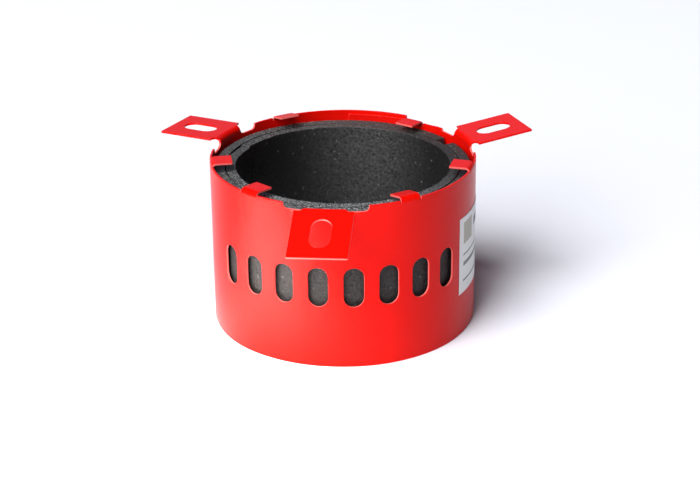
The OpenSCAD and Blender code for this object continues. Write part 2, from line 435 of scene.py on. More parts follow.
@dataclass(frozen=True)
class Intumescent:
    """Graphite-filled intumescent strip, rolled flat and cut: matt charcoal full of fine flakes.

    Rolled faces are nearly black and softly mottled by the roller, with a bright flake here and there;
    round one angle they are painted paler, a painted light. Cut faces are torn, so greyer, pitted and full
    of flakes, and their pits are painted near black, a painted shade. Grain and flakes are drawn coarse
    enough to show here. A span is the range of a pattern's value over which its effect goes from none to
    full.
    """

    rolled_dark: str = "#090909"
    rolled_light: str = "#454545"
    cut: str = "#3C3D3D"
    # Near black of the pits: a painted shade in the hollows of the relief
    pit_shade: str = "#0A0A0B"
    flake: str = "#666666"
    torn_flake: str = "#B0B2B2"
    roughness: float = 0.58
    specular: float = 0.35
    detail: float = 3.0
    mottle_mm: float = 0.9
    mottle_warp: float = 0.6
    mottle_span: tuple[float, float] = (0.28, 0.72)
    mottle_gain: float = 3.0
    grain_mm: float = 0.6
    grain_fineness: float = 0.65
    pit_span: tuple[float, float] = (0.52, 0.4)
    pit_share: float = 0.9
    flake_gap_mm: float = 2.2
    flake_r_mm: float = 0.54
    flake_span: tuple[float, float] = (0.45, 0.8)
    speckle_mm: float = 0.5
    speckle_span: tuple[float, float] = (0.54, 0.68)
    speckle_share: float = 0.8
    relief_mm: float = 0.12
    relief_strength: float = 0.8

    def material(self) -> bpy.types.Material:
        """Builds the material: the compound, its bright flakes and its relief.

        Returns:
            The material.
        """
        made, tree, shader = new_material("graphite_intumescent")
        place = add_node(tree, "ShaderNodeTexCoord").outputs["Object"]
        torn = add_node(tree, "ShaderNodeAttribute", attribute_name="cut").outputs["Fac"]
        mottle = add_node(tree, "ShaderNodeTexNoise", {
            "Vector": place, "Scale": per_mm(self.mottle_mm), "Detail": self.detail,
            "Distortion": self.mottle_warp}).outputs["Fac"]
        grain = add_node(tree, "ShaderNodeTexNoise", {
            "Vector": place, "Scale": per_mm(self.grain_mm), "Detail": self.detail,
            "Roughness": self.grain_fineness}).outputs["Fac"]
        glint = add_node(tree, "ShaderNodeMix", {SHARE: torn, COLOUR_A: linear(self.flake),
                                                 COLOUR_B: linear(self.torn_flake)}, data_type="RGBA")
        mixed = add_node(tree, "ShaderNodeMix", {
            SHARE: self._flakes(tree, place, torn), COLOUR_A: self._compound(tree, torn, mottle, grain),
            COLOUR_B: glint.outputs[COLOUR]}, data_type="RGBA")
        waves = add_node(tree, "ShaderNodeMath", {0: mottle, 1: self.mottle_gain}, operation="MULTIPLY")
        height = add_node(tree, "ShaderNodeMix", {SHARE: torn, NUMBER_A: waves.outputs[0], NUMBER_B: grain})
        bump = add_node(tree, "ShaderNodeBump", {"Height": height.outputs[NUMBER],
                                                 "Strength": self.relief_strength,
                                                 "Distance": self.relief_mm * MM})
        feed(tree, shader, {"Base Color": mixed.outputs[COLOUR], "Normal": bump.outputs["Normal"],
                            "Roughness": self.roughness, "Specular IOR Level": self.specular})
        return made

    def _compound(self, tree: bpy.types.NodeTree, torn: bpy.types.NodeSocket, mottle: bpy.types.NodeSocket,
                  grain: bpy.types.NodeSocket) -> bpy.types.NodeSocket:
        """Adds the colour of the compound: mottled where it was rolled and painted paler as painted light,
        pitted where it is torn, with the pits painted near black as shade.

        Args:
            tree: node tree of the material.
            torn: share to which the surface is torn, with painted light and shade round the ring.
            mottle: pattern of the roller.
            grain: pattern of the torn grain.

        Returns:
            The colour.
        """
        tone = add_node(tree, "ShaderNodeMapRange", {
            "Value": mottle, "From Min": self.mottle_span[0], "From Max": self.mottle_span[1]})
        # Painted light: the rolled faces are paler, and show their mottle, only where this attribute paints
        # light on them
        rubbed = add_node(tree, "ShaderNodeAttribute", attribute_name="rubbed").outputs["Fac"]
        pale = add_node(tree, "ShaderNodeMath", {0: tone.outputs[0], 1: rubbed}, operation="MULTIPLY")
        rolled = add_node(tree, "ShaderNodeMix", {SHARE: pale.outputs[0], COLOUR_A: linear(self.rolled_dark),
                                                  COLOUR_B: linear(self.rolled_light)}, data_type="RGBA")
        base = add_node(tree, "ShaderNodeMix", {SHARE: torn, COLOUR_A: rolled.outputs[COLOUR],
                                                COLOUR_B: linear(self.cut)}, data_type="RGBA")
        # Painted shade: where the grain sinks the relief lowest, the torn faces take the near black of the
        # pits
        hollow = add_node(tree, "ShaderNodeMapRange", {
            "Value": grain, "From Min": self.pit_span[0], "From Max": self.pit_span[1],
            "To Max": self.pit_share})
        dark = add_node(tree, "ShaderNodeMath", {0: hollow.outputs[0], 1: torn}, operation="MULTIPLY")
        pitted = add_node(tree, "ShaderNodeMix", {SHARE: dark.outputs[0], COLOUR_A: base.outputs[COLOUR],
                                                  COLOUR_B: linear(self.pit_shade)}, data_type="RGBA")
        return pitted.outputs[COLOUR]

    def _flakes(self, tree: bpy.types.NodeTree, place: bpy.types.NodeSocket,
                torn: bpy.types.NodeSocket) -> bpy.types.NodeSocket:
        """Adds the share of bright flakes: a few round ones where rolled, a fine speckle where torn.

        Args:
            tree: node tree of the material.
            place: coordinates that the patterns follow.
            torn: share to which the surface is torn, with painted light and shade round the ring.

        Returns:
            The share.
        """
        cells = add_node(tree, "ShaderNodeTexVoronoi", {"Vector": place, "Scale": per_mm(self.flake_gap_mm)})
        near = add_node(tree, "ShaderNodeMapRange", {
            "Value": cells.outputs["Distance"], "From Min": self.flake_r_mm / self.flake_gap_mm,
            "From Max": 0.0})
        chosen = add_node(tree, "ShaderNodeMapRange", {
            "Value": cells.outputs["Color"], "From Min": self.flake_span[0], "From Max": self.flake_span[1]})
        flakes = add_node(tree, "ShaderNodeMath", {0: near.outputs[0], 1: chosen.outputs[0]},
                          operation="MULTIPLY")
        fine = add_node(tree, "ShaderNodeTexNoise", {"Vector": place, "Scale": per_mm(self.speckle_mm),
                                                     "Detail": 0.0})
        speckle = add_node(tree, "ShaderNodeMapRange", {
            "Value": fine.outputs["Fac"], "From Min": self.speckle_span[0],
            "From Max": self.speckle_span[1], "To Max": self.speckle_share})
        bright = add_node(tree, "ShaderNodeMix", {SHARE: torn, NUMBER_A: flakes.outputs[0],
                                                  NUMBER_B: speckle.outputs[0]})
        return bright.outputs[NUMBER]


@dataclass(frozen=True)
class LabelPaper:
    """Coated label paper: a cool white with a low sheen and a hint of fibre in its tone."""

    name: str = "white_label_paper"
    sheet: str = "#E9E9E8"
    fibre: str = "#DFDFDE"
    roughness: float = 0.5
    fibre_mm: float = 1.4
    fibre_detail: float = 4.0

    def material(self) -> bpy.types.Material:
        """Builds the material: a tone that is clouded by the fibre.

        Returns:
            The material.
        """
        made, tree, shader = new_material(self.name)
        place = add_node(tree, "ShaderNodeTexCoord").outputs["Object"]
        cloud = add_node(tree, "ShaderNodeTexNoise", {"Vector": place, "Scale": per_mm(self.fibre_mm),
                                                      "Detail": self.fibre_detail})
        tone = add_node(tree, "ShaderNodeMix", {SHARE: cloud.outputs["Fac"], COLOUR_A: linear(self.sheet),
                                                COLOUR_B: linear(self.fibre)}, data_type="RGBA")
        feed(tree, shader, {"Base Color": tone.outputs[COLOUR], "Roughness": self.roughness})
        return made


# Inks printed on the label: a soft grey and a pale sand that let the paper's fibre show
GREY_INK = LabelPaper(name="grey_label_ink", sheet="#86888A", fibre="#787A7C", roughness=0.55)
SAND_INK = LabelPaper(name="sand_label_ink", sheet="#B9B4A8", fibre="#ABA69A", roughness=0.55)


@dataclass(frozen=True)
class StudioPaper:
    """Matt white background paper, rolled out flat: bright and even, with no gloss."""

    tone: str = "#DEE0E8"
    roughness: float = 0.9
    specular: float = 0.1

    def material(self) -> bpy.types.Material:
        """Builds the material.

        Returns:
            The material.
        """
        made, tree, shader = new_material("white_background_paper")
        feed(tree, shader, {"Base Color": linear(self.tone), "Roughness": self.roughness,
                            "Specular IOR Level": self.specular})
        return made


# Sizes that the pieces share


@dataclass(frozen=True)
class Stack:
    """Layers from the bore outward, in millimetres."""

    bore_r: float
    liner_h: float
    strip_t: float = 3.65
    ply_gap: float = 0.1
    liner_gap: float = 0.1
    sheet_t: float = 0.8
    lap_gap: float = 0.1

    @property
    def ply_r(self) -> float:
        """Outer radius of the inner strip."""
        return self.bore_r + self.strip_t

    @property
    def liner_r(self) -> float:
        """Outer radius of the outer strip."""
        return self.ply_r + self.ply_gap + self.strip_t

    @property
    def tail_r(self) -> float:
        """Outer radius of the sheet's inner end."""
        return self.liner_r + self.liner_gap + self.sheet_t

    @property
    def band_r(self) -> float:
        """Outer radius of the band."""
        return self.tail_r + self.lap_gap + self.sheet_t


# The folded band


@dataclass(frozen=True)
class Arc:
    """Arc of the sheet's middle line, seen from above; a negative sweep runs clockwise."""

    centre: tuple[float, float]
    radius: float
    start: float
    sweep: float


class MidLine:
    """Middle line of the rolled sheet, seen from above: tangent arcs, measured by length along them."""

    def __init__(self, arcs: list[Arc]) -> None:
        """Takes the arcs in order.

        Args:
            arcs: arcs that run into each other.
        """
        self.centres = np.array([arc.centre for arc in arcs])
        self.radii = np.array([arc.radius for arc in arcs])
        self.starts = np.array([arc.start for arc in arcs])
        sweeps = np.array([arc.sweep for arc in arcs])
        self.turns = np.sign(sweeps)
        self.ends = np.cumsum(self.radii * np.abs(sweeps))
        self.begins = self.ends - self.radii * np.abs(sweeps)

    @property
    def length(self) -> float:
        """Length of the whole line."""
        return float(self.ends[-1])

    def at(self, s: np.ndarray) -> tuple[np.ndarray, np.ndarray]:
        """Finds places on the line.

        Args:
            s: lengths along the line.

        Returns:
            The places and the unit directions that point out of the collar.
        """
        part = np.clip(np.searchsorted(self.ends, s), 0, len(self.ends) - 1)
        angle = self.starts[part] + self.turns[part] * (s - self.begins[part]) / self.radii[part]
        ray = rays(angle)
        return self.centres[part] + self.radii[part][..., None] * ray, self.turns[part][..., None] * ray


@dataclass(frozen=True)
class Flap:
    """Flap of the sheet that is folded at the rim: a lug or a tab.

    Its middle is a length along the sheet, and its fold starts at the height fold_h and turns through turn.
    Its zone is the half width of the blank that folds with it. turn and twist are in radians.
    """

    middle: float
    fold_h: float
    turn: float
    way: Fold
    zone: float
    twist: float = 0.0

    def holds(self, flat: np.ndarray) -> np.ndarray:
        """Tells which places on the blank fold with the flap: those in its zone and above its fold line."""
        return (np.abs(flat[:, 0] - self.middle) <= self.zone) & (flat[:, 1] > self.fold_h)


@dataclass(frozen=True)
class LugSizes:
    """Slotted fixing lugs that are folded outward; angles in degrees: front, right, left.

    on_tail is the number of the lug whose far side meets the sheet's lower tail.
    """

    angles: tuple[float, ...] = (270.0, 27.5, 160.0)
    droops: tuple[float, ...] = (24.3, -6.5, 1.0)
    rises: tuple[float, ...] = (-0.5, 1.1, 1.3)
    twists: tuple[float, ...] = (1.2, -1.8, 1.8)
    width: float = 20.5
    reach: float = 22.2
    corner_r: float = 0.4
    slot_w: float = 7.0
    slot_len: float = 12.7
    slot_offset: float = 11.4
    neck_w: float = 14.2
    shoulder: float = 1.4
    relief_w: float = 7.7
    relief_depth: float = 2.1
    relief_r: float = 1.5
    on_tail: int = 1


@dataclass(frozen=True)
class TabSizes:
    """Retaining tabs that are folded inward, one before and one after each lug; angles in degrees."""

    offsets: tuple[tuple[float, float], ...] = ((-35.5, 36.5), (-36.0, 34.0), (-33.5, 35.0))
    tilts: tuple[tuple[float, float], ...] = ((-2.0, -12.0), (0.0, 1.0), (12.0, 0.0))
    width: float = 7.4
    cut: float = 0.3
    reach: float = 7.0
    rise: float = 1.0


@dataclass(frozen=True)
class WindowSizes:
    """Row of upright windows in the front; angles in degrees."""

    count: int = 8
    width: float = 7.0
    height: float = 14.6
    pitch: float = 15.0
    angle: float = 274.0


@dataclass(frozen=True)
class Welds:
    """Spot welds on the lap: shares of the band's height, and the dimple that each leaves."""

    shares: tuple[float, ...] = (0.25, 0.75)
    diameter: float = 5.0
    dimple: float = 0.15
    slope: float = 0.7


@dataclass(frozen=True)
class Ripple:
    """Slow wave of the rolled wall: waves round the ring, phase, height of one radian's climb, and share."""

    count: int
    phase: float
    climb: float
    share: float


@dataclass(frozen=True)
class SheetGrid:
    """Distances between the band's vertices on the blank, in millimetres.

    Edges have a step along the ring and one upwards, and so has the wall. A fold has a number of rows. A
    weld has rings at shares of its radius, cut by rays that are some degrees apart.
    """

    edge_across: float = 1.2
    edge_upright: float = 0.35
    edge_margin: float = 0.42
    wall_across: float = 1.6
    wall_upright: float = 3.8
    wall_foot: float = 1.6
    rim_margin: float = 2.0
    weld_margin: float = 1.2
    weld_rings: tuple[float, ...] = (0.25, 0.55, 0.75, 0.88, 1.0, 1.15)
    weld_ray: float = 15.0
    fold_rows: int = 11
    fold_lead: float = 0.5
    lug_pitch: float = 1.25
    tab_pitch: float = 0.9


@dataclass(frozen=True)
class Blank:
    """Flat blank of the band, cut into triangles.

    flat holds the vertices of a face, those beside the edges first, and triangles the faces over them. rim
    holds the places of the edges, out the directions that point off the sheet there, and after the number of
    the next place on the same edge.
    """

    flat: np.ndarray
    triangles: np.ndarray
    rim: np.ndarray
    out: np.ndarray
    after: np.ndarray


@dataclass
class FoldedBand:
    """Steel band: a flat blank, cut out, folded at its flaps and rolled, worked out as one sheet.

    A place on the blank is (s, h): s runs along the sheet's middle line from its outer end, and h is the
    height before any fold. Above its fold line a flap first follows an arc and then runs straight, so that
    it has the same length as the blank.
    """

    stack: Stack
    height: float = 60.0
    bend_r: float = 1.2
    seam: float = 66.5
    lap_len: float = 23.0
    joggle_r: float = 10.0
    tail_lead: float = 10.0
    tail_drop: float = 1.2
    corner_r: float = 0.25
    edge_r: float = 0.16
    edge_turns: tuple[float, ...] = (30.0, 60.0, 90.0)
    edge_fade: int = 6
    slit_level: float = 0.9
    waviness: float = 0.05
    calm_rim: float = 2.0
    calm_run: float = 14.0
    ripples: tuple[Ripple, ...] = (Ripple(5, 0.7, 31.0, 1.0), Ripple(11, 2.1, -17.0, 0.7))
    lugs: LugSizes = field(default_factory=LugSizes)
    tabs: TabSizes = field(default_factory=TabSizes)
    windows: WindowSizes = field(default_factory=WindowSizes)
    welds: Welds = field(default_factory=Welds)
    grid: SheetGrid = field(default_factory=SheetGrid)

    def __post_init__(self) -> None:
        """Works out the middle line, the flaps and the places of the welds."""
        sheet = self.stack.sheet_t
        self.mid_r = self.stack.band_r - sheet / 2
        self.tail_mid_r = self.stack.tail_r - sheet / 2
        self.fold_r = self.bend_r + sheet / 2
        self.tail_h = self.height - self.tail_drop
        self.tail_start = math.radians(self.seam) - self.tail_lead / self.stack.band_r
        self.line = self._middle_line()
        lug_ids = range(len(self.lugs.angles))
        self.lug_flaps = [self._lug_flap(i) for i in lug_ids]
        self.tab_flaps = [self._tab_flap(i, side) for i in lug_ids for side in (-1, 1)]
        lap_middle = self.lap_len / self.stack.band_r * self.mid_r / 2
        self.weld_spots = np.array([[lap_middle, self.height * share] for share in self.welds.shares])

    def _middle_line(self) -> MidLine:
        """Joins the band's circle to the tail's smaller one by two equal tangent arcs.

        The centres of the circles and of the two arcs make a triangle, which gives the angles.

        Returns:
            The line, from the sheet's outer end to its tail.
        """
        near = self.mid_r - self.joggle_r
        far = self.tail_mid_r + self.joggle_r
        span = corner_angle(near, far, 2 * self.joggle_r)
        sweep = math.pi - corner_angle(near, 2 * self.joggle_r, far)
        seam = math.radians(self.seam)
        stop = self.tail_start
        start = stop - span
        tail = self.lap_len / self.stack.band_r + seam - stop
        return MidLine([
            Arc((0.0, 0.0), self.mid_r, seam, start + 2 * math.pi - seam),
            Arc((near * math.cos(start), near * math.sin(start)), self.joggle_r, start, sweep),
            Arc((far * math.cos(stop), far * math.sin(stop)), self.joggle_r,
                start + sweep + math.pi, span - sweep),
            Arc((0.0, 0.0), self.tail_mid_r, stop, tail),
        ])

    def _along(self, degrees: float, on_tail: bool = False) -> float:
        """Length along the middle line at an angle in degrees, on the band's circle or on its tail."""
        if on_tail:
            return float(self.line.begins[-1] + self.tail_mid_r * (math.radians(degrees) - self.tail_start))
        return self.mid_r * math.radians((degrees - self.seam) % 360)

    def _lug_flap(self, i: int) -> Flap:
        """Works out the fold of one lug.

        Args:
            i: number of the lug.

        Returns:
            The flap.
        """
        fold_h = self.height + self.lugs.rises[i] - self.bend_r - self.stack.sheet_t
        turn = math.radians(90 + self.lugs.droops[i])
        zone = self.lugs.neck_w / 2 + self.lugs.relief_w - 2 * self.lugs.relief_r
        twist = math.radians(self.lugs.twists[i])
        return Flap(self._along(self.lugs.angles[i]), fold_h, turn, Fold.OUTWARD, zone, twist)

    def _tab_flap(self, i: int, side: int) -> Flap:
        """Works out the fold of a tab.

        Args:
            i: number of the lug beside it.
            side: -1 for the tab before the lug and 1 for the one after it.

        Returns:
            The flap.
        """
        on_tail = i == self.lugs.on_tail and side > 0
        which = (side + 1) // 2
        rim = self.tail_h if on_tail else self.height
        fold_h = rim + self.tabs.rise - self.bend_r - self.stack.sheet_t
        middle = self._along(self.lugs.angles[i] + self.tabs.offsets[i][which], on_tail)
        turn = math.radians(90 - self.tabs.tilts[i][which])
        return Flap(middle, fold_h, turn, Fold.INWARD, (self.tabs.width + self.tabs.cut) / 2)

    def _plate_h(self, flap: Flap, out: float) -> float:
        """Height on the blank of a place on a flap, given its distance from the wall's face."""
        return flap.fold_h + self.fold_r * flap.turn + out - self.bend_r

    def _lug_side(self, flap: Flap, rim: float, way: int) -> list[Corner]:
        """Lists the corners on one side of a lug: relief cut, neck, shoulder and plate.

        The neck's throat is a half circle, and the relief cut's radius is held by the rim above it.

        Args:
            flap: fold of the lug.
            rim: height of the rim beside it.
            way: 1 for the right side and -1 for the left one.

        Returns:
            The corners, from the rim to the tip.
        """
        lug = self.lugs
        neck, side = lug.neck_w / 2, lug.width / 2
        far = neck + lug.relief_w
        low = self.height - lug.relief_depth
        shoulder, tip = self._plate_h(flap, lug.shoulder), self._plate_h(flap, lug.reach)
        throat = (shoulder - low) / 2
        steps = [
            (far, rim, self.corner_r),
            (far, low, min(lug.relief_r, rim - low - self.corner_r)),
            (neck, low, throat),
            (neck, shoulder, throat),
            (side, shoulder, self.corner_r),
            (side, tip, lug.corner_r),
        ]
        return [(flap.middle + way * beside, h, r) for beside, h, r in steps]

    def _lug_corners(self, i: int) -> list[Corner]:
        """Lists the rim's corners round one lug, from right to left.

        Args:
            i: number of the lug.

        Returns:
            The corners.
        """
        flap = self.lug_flaps[i]
        after = self.tail_h if i == self.lugs.on_tail else self.height
        return self._lug_side(flap, after, 1) + self._lug_side(flap, self.height, -1)[::-1]

    def _tab_corners(self, flap: Flap) -> list[Corner]:
        """Lists the rim's corners round one tab, from right to left: cut, tip, and back.

        Args:
            flap: fold of the tab.

        Returns:
            The corners.
        """
        tab = self.tabs
        rim = flap.fold_h + self.bend_r + self.stack.sheet_t - tab.rise
        side, slit = tab.width / 2, tab.cut / 2
        half = [
            (side + tab.cut, rim, self.corner_r),
            (side + tab.cut, flap.fold_h, slit),
            (side, flap.fold_h, slit),
            (side, self._plate_h(flap, tab.reach), self.corner_r),
        ]
        right = [(flap.middle + beside, h, r) for beside, h, r in half]
        left = [(flap.middle - beside, h, r) for beside, h, r in half]
        return right + left[::-1]

    def _outlines(self) -> list[np.ndarray]:
        """Samples the edges of the blank.

        Returns:
            The outline, anticlockwise, and then the windows and the slots, clockwise.
        """
        end, r = self.line.length, self.corner_r
        corners = [(0.0, 0.0, r), (end, 0.0, r), (end, self.tail_h, r)]
        rims = [(flap.middle, self._lug_corners(i)) for i, flap in enumerate(self.lug_flaps)]
        rims += [(flap.middle, self._tab_corners(flap)) for flap in self.tab_flaps]
        for _, rim in sorted(rims, reverse=True):
            corners += rim
        corners.append((0.0, self.height, r))
        row, lug = self.windows, self.lugs
        first = row.angle - (row.count - 1) * row.pitch / 2
        holes = [obround((self._along(first + i * row.pitch), self.height / 2), row.width, row.height)
                 for i in range(row.count)]
        holes += [obround((flap.middle, self._plate_h(flap, lug.slot_offset)), lug.slot_w, lug.slot_len)
                  for flap in self.lug_flaps]
        steps = self.grid.edge_across, self.grid.edge_upright
        return [rounded_loop(item, *steps) for item in [corners, *holes]]

    def _off_welds(self, flat: np.ndarray) -> np.ndarray:
        """Distance of places on the blank from the nearest weld."""
        return np.linalg.norm(flat[:, None] - self.weld_spots, axis=2).min(1)

    def _flap_points(self, flap: Flap) -> np.ndarray:
        """Spreads points over a flap: close rows through its fold, and a square grid past it.

        Args:
            flap: the flap.

        Returns:
            Places on the blank.
        """
        lug = flap.way is Fold.OUTWARD
        sizes = self.lugs if lug else self.tabs
        pitch = self.grid.lug_pitch if lug else self.grid.tab_pitch
        half = sizes.width / 2
        bend = flap.fold_h + self.fold_r * flap.turn
        tip = self._plate_h(flap, sizes.reach)
        rows = np.concatenate([np.linspace(flap.fold_h, bend, self.grid.fold_rows),
                               np.arange(bend + self.grid.fold_lead, tip, pitch)])
        lanes = flap.middle + np.linspace(-half, half, 2 * round(half / pitch) + 1)
        return pairs(lanes, rows)

    def _inner_points(self) -> np.ndarray:
        """Spreads points over the blank: wide apart on the wall, close on folds and welds.

        Returns:
            Places on the blank.
        """
        grid, weld_r = self.grid, self.welds.diameter / 2
        wall = pairs(np.arange(grid.wall_across / 2, self.line.length, grid.wall_across),
                     np.arange(grid.wall_foot, self.height - grid.rim_margin, grid.wall_upright))
        wall = wall[self._off_welds(wall) > weld_r + grid.weld_margin]
        ring = rays(np.radians(np.arange(0, 360, grid.weld_ray)))
        welds = [spot + ring * share * weld_r for spot in self.weld_spots for share in grid.weld_rings]
        flaps = [self._flap_points(flap) for flap in self.lug_flaps + self.tab_flaps]
        return np.concatenate([wall, *welds, *flaps])

    def _blank(self) -> Blank:
        """Cuts the blank into triangles that keep to its edges.

        A triangle with all its corners on the edge of one hole fills that hole, and is left out.

        Returns:
            The blank.
        """
        loops = self._outlines()
        rim = np.concatenate(loops)
        out = np.concatenate([loop_normals(loop) for loop in loops])
        sizes = [len(loop) for loop in loops]
        firsts = np.cumsum([0, *sizes[:-1]])
        after = np.concatenate([first + (np.arange(size) + 1) % size for first, size in zip(firsts, sizes)])
        inner = self._inner_points()
        inner = inner[inside(inner, loops, self.grid.edge_margin)]
        flat = np.concatenate([rim - self.edge_r * out, inner])
        edges = np.stack([np.arange(len(rim)), after], 1)
        spots = [Vector(spot) for spot in flat.tolist()]
        result = delaunay_2d_cdt(spots, edges.tolist(), [], INSIDE_EDGES, CUT_TOLERANCE)
        if len(result[0]) != len(flat):
            raise ValueError("the blank's edges cross each other")
        triangles = np.array(result[2])
        owner = np.concatenate([np.repeat(np.arange(len(loops)), sizes), np.full(len(inner), -1)])[triangles]
        in_hole = (owner > 0).all(1) & (owner == owner[:, :1]).all(1)
        return Blank(flat, triangles[~in_hole], rim, out, after)

    def _fold(self, flap: Flap, flat: np.ndarray, spots: np.ndarray, outward: np.ndarray) -> np.ndarray:
        """Folds places on one flap.

        The fold is an arc of the fold radius that turns through the flap's angle, and the rest is straight.
        Beside the wall the flap follows the wall's curve, and past its fold it is flat; smooth() leads from
        one to the other.

        Args:
            flap: the flap.
            flat: places on the blank.
            spots: where they lie on the wall, seen from above.
            outward: directions that point out of the collar there.

        Returns:
            Places in the collar's frame.
        """
        past = flat[:, 1] - flap.fold_h
        bent = np.minimum(past / self.fold_r, flap.turn)
        straight = past - self.fold_r * bent
        out = self.fold_r * (1 - np.cos(bent)) + straight * math.sin(flap.turn)
        up = self.fold_r * np.sin(bent) + straight * math.cos(flap.turn)
        shift = (flap.way.value * out)[:, None]
        centre, ray = (item[0] for item in self.line.at(np.array([flap.middle])))
        side = np.array([-ray[1], ray[0]])
        beside = flat[:, 0] - flap.middle
        level = centre + beside[:, None] * side + shift * ray
        share = smooth(past / (self.fold_r * flap.turn + self.bend_r))[:, None]
        seen = (1 - share) * (spots + shift * outward) + share * level
        height = flap.fold_h + up + math.tan(flap.twist) * beside * share[:, 0]
        return np.concatenate([seen, height[:, None]], 1)

    def place(self, flat: np.ndarray) -> np.ndarray:
        """Carries places on the blank to the folded and rolled sheet's middle surface.

        The rolled wall is a little uneven, by a sum of slow waves round the ring that calm down at the rim.

        Args:
            flat: places on the blank.

        Returns:
            Places in the collar's frame.
        """
        s, h = flat[:, 0], flat[:, 1]
        spots, outward = self.line.at(s)
        angle = np.arctan2(spots[:, 1], spots[:, 0])
        wave = sum(item.share * np.sin(item.count * angle + item.phase + h / item.climb)
                   for item in self.ripples)
        calm = smooth((self.height - self.calm_rim - h) / self.calm_run)
        spots = spots + (self.waviness * wave * calm)[:, None] * outward
        placed = np.concatenate([spots, h[:, None]], 1)
        for flap in self.lug_flaps + self.tab_flaps:
            on = flap.holds(flat)
            placed[on] = self._fold(flap, flat[on], spots[on], outward[on])
        return placed

    def _frame(self, flat: np.ndarray) -> tuple[np.ndarray, np.ndarray, np.ndarray, np.ndarray]:
        """Places on the middle surface, its directions along s and along h, and its outward normals."""
        ds, dh = (unit(slope) for slope in slopes(self.place, flat, MIDDLE_STEP))
        return self.place(flat), ds, dh, unit(np.cross(ds, dh))

    def _skin(self, flat: np.ndarray, side: int) -> np.ndarray:
        """Finds one face of the sheet, half a thickness off the middle surface.

        The outer face has a shallow round dimple over each spot weld.

        Args:
            flat: places on the blank.
            side: 1 for the outer face and -1 for the inner one.

        Returns:
            The vertices.
        """
        middle, _, _, normal = self._frame(flat)
        within = (self.welds.diameter / 2 - self._off_welds(flat)) / self.welds.slope
        dimple = self.welds.dimple * smooth(within) * (side > 0)
        return middle + normal * (side * self.stack.sheet_t / 2 - dimple)[:, None]

    def _face(self, flat: np.ndarray, side: int) -> tuple[np.ndarray, np.ndarray]:
        """Vertices of one face of the sheet, as _skin() finds them, and the normals from its slopes."""
        ds, dh = slopes(lambda spots: self._skin(spots, side), flat, FACE_STEP)
        return self._skin(flat, side), side * unit(np.cross(ds, dh))

    def _highlit_edges(self, blank: Blank) -> np.ndarray:
        """Tells which edges are painted pale, partly for a thinner coat and mostly as a painted highlight:
        not the wall's slit top and bottom.

        The two side lugs keep their edges plain red too.

        Args:
            blank: the blank.

        Returns:
            1 on edges that are painted pale and 0 on the others.
        """
        h = blank.rim[:, 1]
        at_end = (h < self.bend_r) | (np.abs(h - self.height) < self.fold_r)
        kept_plain = (np.abs(blank.out[:, 1]) > self.slit_level) & at_end
        for flap in self.lug_flaps[1:]:
            kept_plain |= flap.holds(blank.rim)
        return np.where(kept_plain, 0.0, 1.0)

    def build(self, finish: PowderCoat) -> None:
        """Makes the band: two faces over the blank's triangles, joined by rounded edges in one closed mesh.

        Each edge is a quarter circle from the outer face, a flat side and a quarter circle to the inner
        face: at angle a the edge lies r(1 - sin a) inside the outline and r(1 - cos a) under the face.

        Args:
            finish: coating of the sheet.
        """
        blank = self._blank()
        quarter = np.radians(self.edge_turns)
        turns = [(1, a) for a in quarter] + [(-1, a) for a in quarter[::-1]]
        outer, inner = self._face(blank.flat, 1), self._face(blank.flat, -1)
        places, normals = [outer[0]], [outer[1]]
        for side, a in turns:
            middle, ds, dh, normal = self._frame(blank.rim - self.edge_r * (1 - math.sin(a)) * blank.out)
            off = unit(blank.out[:, :1] * ds + blank.out[:, 1:] * dh)
            lift = side * (self.stack.sheet_t / 2 - self.edge_r * (1 - math.cos(a)))
            places.append(middle + lift * normal)
            normals.append(unit(side * math.cos(a) * normal + math.sin(a) * off))
        places.append(inner[0])
        normals.append(inner[1])
        count, total = len(blank.rim), len(blank.flat)
        last = total + len(turns) * count
        starts = [0, *(total + np.arange(len(turns)) * count), last]
        this, after = np.arange(count), blank.after
        strips = [np.stack([a + this, b + this, b + after, a + after], 1) for a, b in zip(starts, starts[1:])]
        faces = [blank.triangles, blank.triangles[:, ::-1] + last, *strips]
        piece = add_piece("folded_band", np.concatenate(places), faces, [finish.material()],
                          np.concatenate(normals))
        # The edge attribute paints the marked edges pale: mostly a painted highlight, partly a thinner coat
        face_share, highlit = np.zeros(total), self._highlit_edges(blank)
        fades = [highlit * math.sin(a) ** self.edge_fade for _, a in turns]
        set_attribute(piece, "edge", np.concatenate([face_share, *fades, face_share]))
        stand_for(piece, "steel_band")


# The liner


